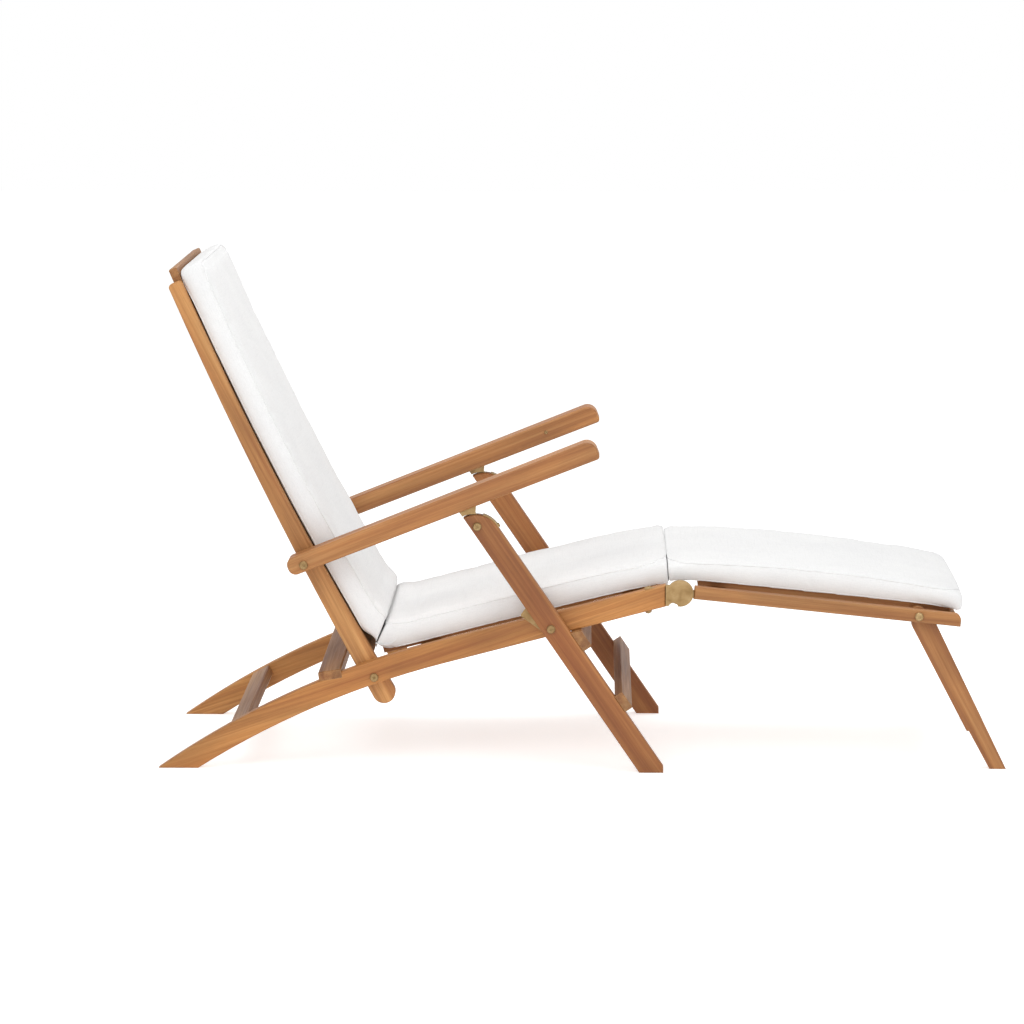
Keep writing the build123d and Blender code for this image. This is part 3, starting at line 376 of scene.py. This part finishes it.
def points(mesh):
    flat = np.empty(len(mesh.vertices) * 3)
    mesh.vertices.foreach_get("co", flat)
    return flat.reshape(-1, 3)


def set_points(mesh, places):
    mesh.vertices.foreach_set("co", places.astype(np.float32).ravel())
    mesh.update()


def normals(mesh):
    flat = np.empty(len(mesh.vertices) * 3, np.float32)
    mesh.vertices.foreach_get("normal", flat)
    return flat.reshape(-1, 3).astype(float)


def smooth(piece):
    piece.data.polygons.foreach_set("use_smooth", [True] * len(piece.data.polygons))


def evaluated(piece):
    """A new mesh with the piece's modifiers applied."""
    graph = bpy.context.evaluated_depsgraph_get()
    return bpy.data.meshes.new_from_object(piece.evaluated_get(graph))


def apply_modifiers(piece):
    mesh = evaluated(piece)
    piece.modifiers.clear()
    piece.data = mesh


def struck(piece, start, way):
    """Where a line from outside first meets a piece, and the way its surface faces there."""
    hit, place, normal, _ = piece.ray_cast(Vector(start), Vector(way))
    if not hit:
        raise ValueError(f"the line from {start} misses {piece.name}")
    return place, normal


def run_of(angle):
    """Unit vector in XZ at an angle above +X."""
    return np.array((math.cos(math.radians(angle)), 0.0, math.sin(math.radians(angle))))


def step_up(values):
    """Smooth step from 0 to 1 over values from 0 to 1."""
    share = np.clip(values, 0.0, 1.0)
    return share * share * (3.0 - 2.0 * share)


def eased(loop):
    """A closed row of points or directions, each drawn towards its neighbours."""
    return (np.roll(loop, 1, axis=0) + 2.0 * loop + np.roll(loop, -1, axis=0)) / 4.0


def unit(directions):
    return directions / np.linalg.norm(directions, axis=1, keepdims=True)


# Pads: body, direction, seed, thickness at even steps from the rear end to the forward one as shares of the
# solid's, droop of the long edges at the rear end, between the ends and at the forward end, and the end whose
# underside lifts, 1 for forward, -1 for rear and 0 for none

Pad = namedtuple("Pad", "body angle seed shares droop lifted_end")
PADS = {
    "back_pad": Pad("back", BACK_RUN, 1, None, None, 1),
    "seat_pad": Pad("frame", SEAT_ANGLE, 2, (0.80, 0.87, 0.90, 0.87, 0.75),
                    (8.0 * MM, 8.0 * MM, 20.0 * MM), -1),
    "foot_pad": Pad("footrest", FOOT_ANGLE, 3, (0.64, 0.84, 0.94, 0.94, 0.84, 0.66),
                    (11.0 * MM, 2.0 * MM, 9.0 * MM), 0),
}
MEETINGS = (("back_pad", "seat_pad"), ("seat_pad", "foot_pad"))


def puff(piece, run, up):
    """Inflates a pad with Cloth: most on top and at the sides, little at its ends and underside."""
    start, outward = points(piece.data), normals(piece.data)
    cloth = piece.modifiers.new("puff", "CLOTH")
    cloth.settings.quality = PUFF_QUALITY
    cloth.settings.use_pressure = True
    cloth.settings.uniform_pressure_force = PUFF_PRESSURE
    cloth.settings.effector_weights.gravity = 0.0
    scene = bpy.context.scene
    for step in range(1, PUFF_FRAMES + 1):
        scene.frame_set(step)
    moved = points(evaluated(piece))
    piece.modifiers.clear()
    scene.frame_set(1)
    move = moved - start
    drawn = np.minimum(0.0, (move * outward).sum(axis=1) + PUFF_DRAW)
    move = move - outward * drawn[:, None]
    free = np.clip(outward @ up + PUFF_SIDES, PUFF_UNDER, 1.0) * (1.0 - PUFF_END_LOSS * np.abs(outward @ run))
    length = np.maximum(np.linalg.norm(move, axis=1), 1e-9)
    set_points(piece.data, start + move * np.minimum(1.0, PUFF_CAP * free / length)[:, None])


def wrinkle(piece, run, up, seed):
    """Soft creases pressed into a pad's upper face and sides; its ends and underside stay flat."""
    places, outward = points(piece.data), normals(piece.data)
    shift = Vector([seed * step for step in SEED_SHIFT])
    broad_waves, fold_waves = Vector(BROAD_WAVES), Vector(FOLD_WAVES)
    waves = []
    for place in places:
        spot = Vector(place)
        broad = noise.noise(spot * broad_waves + shift)
        fold = abs(noise.noise(spot * fold_waves + 2.0 * shift))
        waves.append(BROAD_SHARE * broad - FOLD_SHARE * max(0.0, 1.0 - FOLD_SHARPNESS * fold) ** 2)
    share = np.clip(outward @ up + WRINKLE_SIDES, 0.0, 1.0) * (1.0 - np.abs(outward @ run))
    set_points(piece.data, places + outward * (WRINKLE_HEIGHT * share * np.array(waves))[:, None])


def heights(places, up):
    """Height above a pad's underside, and the same as a share of its thickness."""
    above = places @ up
    above = above - above.min()
    return above, above / above.max()


def thin(piece, run, up, shares):
    """Thins a pad towards its ends by shares at even steps along it."""
    places = points(piece.data)
    above, _ = heights(places, up)
    along_it = places @ run
    along_it = (along_it - along_it.min()) / np.ptp(along_it) * (len(shares) - 1)
    before = np.minimum(along_it.astype(int), len(shares) - 2)
    rise = step_up(along_it - before)
    shares = np.array(shares)
    share = shares[before] * (1.0 - rise) + shares[before + 1] * rise
    set_points(piece.data, places - up * (above * (1.0 - share))[:, None])


def sag_edges(piece, run, up, rear, between, forward):
    """Lets a pad's long edges droop beside the outer slats."""
    places = points(piece.data)
    _, share = heights(places, up)
    reach = places @ run
    at_rear = step_up(1.0 - (reach - reach.min()) / END_SAG_REACH)
    at_front = step_up(1.0 - (reach.max() - reach) / END_SAG_REACH)
    depth = between + (rear - between) * at_rear + (forward - between) * at_front
    outer = step_up((np.abs(places[:, 1]) - SAG_EDGE) / SAG_SPAN)
    set_points(piece.data, places - up * (depth * outer * (1.0 - share) ** SAG_FADE)[:, None])


def lift_end(piece, up, run):
    """Rounds the underside of the end that run points to, where the pad is sewn to the next one."""
    places = points(piece.data)
    _, share = heights(places, up)
    reach = places @ run
    near = step_up(1.0 - (reach.max() - reach) / LIFT_REACH)
    set_points(piece.data, places + up * (END_LIFT * near * (1.0 - share) ** LIFT_FADE)[:, None])


def meeting_plane(before, after):
    """The plane half way between two pads that meet: the way it faces, towards the second, and its level."""
    facing = run_of(PADS[before].angle) + run_of(PADS[after].angle)
    facing /= np.linalg.norm(facing)
    end, start = (points(nodes[before].data) @ facing).max(), (points(nodes[after].data) @ facing).min()
    return facing, (end + start) / 2.0


def meet(piece, facing, level):
    """Squares an end and brings it up to the plane where it meets the next pad."""
    places = points(piece.data)
    depth = level - places @ facing
    wanted = MEET_GAP + MEET_EVEN * (depth - depth.min())
    near = step_up((MEET_REACH - depth) / (MEET_REACH - MEET_FULL))
    set_points(piece.data, places + facing * (near * (depth - wanted))[:, None])


def cushion(node, pad):
    """A filled pad made from its CAD solid: drawn in, remeshed, inflated, set on its slats and creased."""
    run, up = run_of(pad.angle), run_of(pad.angle + 90.0)
    piece = new_piece(f"{node}_cover", nodes[node].data.copy())
    set_points(piece.data, points(piece.data) - normals(piece.data) * PAD_SHRINK)
    remesh = piece.modifiers.new("remesh", "REMESH")
    remesh.mode = "VOXEL"
    remesh.voxel_size = PAD_VOXEL
    apply_modifiers(piece)
    puff(piece, run, up)
    if pad.shares:
        thin(piece, run, up, pad.shares)
    if pad.droop:
        sag_edges(piece, run, up, *pad.droop)
    if pad.lifted_end:
        lift_end(piece, up, pad.lifted_end * run)
    for before, after in MEETINGS:
        facing, level = meeting_plane(before, after)
        if node == before:
            meet(piece, facing, level)
        elif node == after:
            meet(piece, -facing, -level)
    finer = piece.modifiers.new("finer", "SUBSURF")
    finer.levels = finer.render_levels = 1
    apply_modifiers(piece)
    wrinkle(piece, run, up, pad.seed)
    smooth(piece)
    paint(piece, white_cloth(f"{node}_cloth", along(pad.angle)))
    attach(piece, pad.body)
    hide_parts(node)
    return piece


def furthest(places, where, at, width, reach):
    """The place furthest in a direction among those in a slice."""
    chosen = places[np.abs(where - at) < width]
    return chosen[np.argmax(chosen @ reach)]


FORWARD, REAR = 1, 3  # Places of a sewn edge's two ends among its four sides


def sewn_edge(piece, angle, level):
    """Points round a pad's upper edge at level 1, or its lower edge at level -1, four sides in order."""
    places = points(piece.data)
    run, up, across = run_of(angle), run_of(angle + 90.0), np.array((0.0, 1.0, 0.0))
    lengthwise, sideways = places @ run, places[:, 1]
    sides = []
    for where, reach, backwards in ((lengthwise, across, False), (sideways, run, True),
                                    (lengthwise, -across, True), (sideways, -run, False)):
        low, high = where.min() + 2.0 * SEAM_STEP, where.max() - 2.0 * SEAM_STEP
        stops = np.linspace(low, high, int((high - low) / SEAM_STEP))
        if backwards:
            stops = stops[::-1]
        sides.append([furthest(places, where, stop, SEAM_STEP / 2.0, reach + level * up) for stop in stops])
    return sides


def seam(piece, body, angle, level, name):
    """A sewn ridge laid on a pad's edge."""
    loop = np.array(sum(sewn_edge(piece, angle, level), []))
    surface = BVHTree.FromObject(piece, bpy.context.evaluated_depsgraph_get())
    for _ in range(SEAM_ROUNDS):
        for _ in range(SEAM_SMOOTHING):
            loop = eased(loop)
        found = [surface.find_nearest(Vector(place)) for place in loop]
        loop = np.array([hit[0] for hit in found])
    outward = np.array([hit[1] for hit in found])
    for _ in range(FACING_SMOOTHING):
        outward = unit(eased(outward))
    centre = loop + outward * (SEAM_RADIUS - SEAM_SINK)
    ahead = unit(np.roll(centre, -1, axis=0) - np.roll(centre, 1, axis=0))
    beside = np.cross(ahead, outward)
    rings = []
    for step in range(SEAM_SIDES):
        turn = math.tau * step / SEAM_SIDES
        rings.append(centre + SEAM_RADIUS * (math.cos(turn) * outward + math.sin(turn) * beside))
    count = len(centre)
    faces = []
    for step in range(SEAM_SIDES):
        following = (step + 1) % SEAM_SIDES
        for spot in range(count):
            next_spot = (spot + 1) % count
            faces.append((step * count + spot, step * count + next_spot,
                          following * count + next_spot, following * count + spot))
    ridge = built(name, np.concatenate(rings), faces, piece.data.materials[0])
    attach(ridge, body)
    return ridge


def strip(name, first, last, drop, material):
    """A strip of cloth that hangs between two sewn edges, given as rows of points from right to left."""
    rows = []
    for step in range(STRIP_STEPS + 1):
        share = step / STRIP_STEPS
        hang = drop * math.sin(math.pi * share) ** STRIP_ROUNDNESS
        rows.append((1.0 - share) * first + share * last - np.array((0.0, 0.0, hang)))
    count = len(first)
    corners = [row * count + spot for row in range(STRIP_STEPS) for spot in range(count - 1)]
    faces = [(corner, corner + 1, corner + count + 1, corner + count) for corner in corners]
    piece = built(name, np.concatenate(rows), faces, material)
    thick = piece.modifiers.new("thick", "SOLIDIFY")
    thick.thickness = STRIP_THICK
    thick.offset = 0.0
    apply_modifiers(piece)
    smooth(piece)
    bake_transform(piece)


def row_of(edge, right, left):
    """An edge's points as an even row between two places across the chair."""
    edge = np.array(sorted(edge, key=lambda place: place[1]))
    across = np.linspace(right, left, int((left - right) / STRIP_CELL) + 1)
    level = np.array([np.interp(across, edge[:, 1], edge[:, axis]) for axis in (0, 2)])
    for _ in range(STRIP_SMOOTHING):
        level[:, 1:-1] = (level[:, :-2] + 2.0 * level[:, 1:-1] + level[:, 2:]) / 4.0
    return np.stack((level[0], across, level[1]), axis=1)


covers = {node: cushion(node, pad) for node, pad in PADS.items()}
seams = {node: [] for node in PADS}
for node, pad in PADS.items():
    for level, edge_name in ((1, "upper"), (-1, "lower")):
        seams[node].append(seam(covers[node], pad.body, pad.angle, level, f"{node}_{edge_name}_seam"))

bpy.context.view_layer.update()
lower = {node: sewn_edge(covers[node], pad.angle, -1) for node, pad in PADS.items()}
cloth = covers["seat_pad"].data.materials[0]
for name, end, other, other_end, drop, body in (
        ("back", REAR, "back_pad", FORWARD, BACK_STRIP_DROP, "back"),
        ("foot", FORWARD, "foot_pad", REAR, FOOT_STRIP_DROP, "footrest")):
    first, last = (row_of(edge, -STRIP_HALF_WIDTH, STRIP_HALF_WIDTH)
                   for edge in (lower["seat_pad"][end], lower[other][other_end]))
    strip(f"{name}_joining_strip", first, last, drop, cloth)
for name, edges in (("right", (-LOOP_OUTER, -LOOP_INNER)), ("left", (LOOP_INNER, LOOP_OUTER))):
    last = row_of(lower["back_pad"][FORWARD], *edges)
    first = [struck(covers["seat_pad"], (LOOP_X, place[1], 0.0), UP)[0] for place in last]
    strip(f"{name}_corner_loop", np.array(first), last, LOOP_DROP, cloth)

# Gives the foot pad, the seat pad and their seams meshes of their own, and finds each CAD pad's lowest level
# along its axis
for node, axis, keep in (("foot_pad", run_of(FOOT_ANGLE + 90.0), FOLD_KEEP),
                         ("seat_pad", run_of(SEAT_ANGLE), SEAT_KEEP)):
    lowest = (points(nodes[node].data) @ axis).min()
    for piece in (covers[node], *seams[node]):
        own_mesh(piece)


# Brass fasteners

def turned(name, profile, size, place, facing, body):
    """A small turned brass piece on a place: its profile, scaled to a size, about the way it faces."""
    facing = facing.normalized()
    across = facing.orthogonal().normalized()
    beside = facing.cross(across)
    places, faces = [], []
    for radius, height in profile:
        for step in range(TURNED_SIDES):
            turn = math.tau * step / TURNED_SIDES
            places.append(place + facing * (height * size)
                          + radius * size * (math.cos(turn) * across + math.sin(turn) * beside))
    for ring in range(len(profile) - 1):
        for step in range(TURNED_SIDES):
            following = (step + 1) % TURNED_SIDES
            faces.append((ring * TURNED_SIDES + step, (ring + 1) * TURNED_SIDES + step,
                          (ring + 1) * TURNED_SIDES + following, ring * TURNED_SIDES + following))
    last = (len(profile) - 1) * TURNED_SIDES
    faces.append(tuple(range(TURNED_SIDES)))
    faces.append(tuple(last + step for step in reversed(range(TURNED_SIDES))))
    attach(built(name, places, faces, BRASS), body)


def middle_across(node):
    low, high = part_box(node)
    return (low[1] + high[1]) / 2.0


for name, side in SIDES:
    rail, across = nodes[f"{name}_side_rail"], middle_across(f"{name}_side_rail")
    place, facing = struck(rail, (BOLT_X, across, CLEAR), DOWN)
    turned(f"{name}_rail_bolt", HEAD_PROFILE, BOLT_HEAD, place, facing, "frame")
    place, facing = struck(rail, (BOLT_X, across, 0.0), UP)
    turned(f"{name}_rail_nut", NUT_PROFILE, BOLT_NUT, place, facing, "frame")

    cap_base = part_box("leg_caps")[0][2]
    start = (CLEAR, middle_across(f"{name}_front_leg"), cap_base + SCREW_HEAD)
    place, facing = struck(nodes["leg_caps"], start, REARWARD)
    turned(f"{name}_cap_screw", HEAD_PROFILE, SCREW_HEAD, place, facing, "front_legs")

    arm = nodes[f"{name}_arm"]
    top, _ = struck(arm, (PLUG_X, side * ARM_Y, CLEAR), DOWN)
    under, _ = struck(arm, (PLUG_X, side * ARM_Y, 0.0), UP)
    place, facing = struck(arm, (PLUG_X, 0.0, (top.z + under.z) / 2.0), (0.0, side, 0.0))
    turned(f"{name}_arm_plug", HEAD_PROFILE, PLUG_HEAD, place, facing, "arms")


# Stage, light and camera

def white_backdrop(tree, strength_socket, light, seen):
    """Sets a strength for light on the chair and another for what the camera and metal see."""
    rays = tree.nodes.new("ShaderNodeLightPath")
    direct = add(tree, "ShaderNodeMath", operation="MAXIMUM")
    tree.links.new(rays.outputs["Is Camera Ray"], direct.inputs[0])
    tree.links.new(rays.outputs["Is Glossy Ray"], direct.inputs[1])
    every = add(tree, "ShaderNodeMath", operation="MAXIMUM")
    tree.links.new(direct.outputs["Value"], every.inputs[0])
    tree.links.new(rays.outputs["Is Transmission Ray"], every.inputs[1])
    strength = add(tree, "ShaderNodeMapRange")
    strength.inputs["To Min"].default_value = light
    strength.inputs["To Max"].default_value = seen
    tree.links.new(every.outputs["Value"], strength.inputs["Value"])
    tree.links.new(strength.outputs["Result"], strength_socket)


def stage():
    """A pale floor that keeps the chair's shadow, and a white world."""
    bpy.ops.mesh.primitive_plane_add(size=FLOOR_SIZE, location=(0.0, 0.0, 0.0))
    floor = bpy.context.active_object
    floor.name = "floor"
    material, tree, shader = node_tree("floor_white")
    shader.inputs["Base Color"].default_value = (*grey(FLOOR_WHITE), 1.0)
    shader.inputs["Roughness"].default_value = FLOOR_ROUGH
    shader.inputs["Specular IOR Level"].default_value = 0.0
    shader.inputs["Emission Color"].default_value = (*grey(1.0), 1.0)
    white_backdrop(tree, shader.inputs["Emission Strength"], FLOOR_LIGHT, FLOOR_GLOW)
    paint(floor, material)

    world = bpy.data.worlds.new("studio")
    bpy.context.scene.world = world
    world.use_nodes = True
    sky = world.node_tree.nodes["Background"]
    sky.inputs["Color"].default_value = (*grey(1.0), 1.0)
    white_backdrop(world.node_tree, sky.inputs["Strength"], WORLD_LIGHT, WORLD_GLOW)


def lamp(name, place, size, watts):
    """A soft lamp aimed at the chair."""
    light = bpy.data.lights.new(name, "AREA")
    light.size = size
    light.energy = watts
    holder = bpy.data.objects.new(name, light)
    bpy.context.scene.collection.objects.link(holder)
    holder.location = place
    holder.rotation_euler = (Vector(LAMP_AIM) - Vector(place)).to_track_quat("-Z", "Y").to_euler()


stage()
for name, (place, size, watts) in LAMPS.items():
    lamp(name, place, size, watts)

camera = bpy.data.cameras.new("photo_camera")
camera.sensor_width = SENSOR
camera.lens = FOCAL_PIXELS / FRAME_PIXELS * SENSOR
camera.clip_end = FAR_CLIP
viewer = bpy.data.objects.new("photo_camera", camera)
bpy.context.scene.collection.objects.link(viewer)
viewer.location = CAMERA_PLACE
viewer.rotation_euler = (math.pi / 2 - CAMERA_PITCH, 0.0, CAMERA_TURN)
bpy.context.scene.camera = viewer
bpy.context.scene.view_settings.view_transform = "Standard"
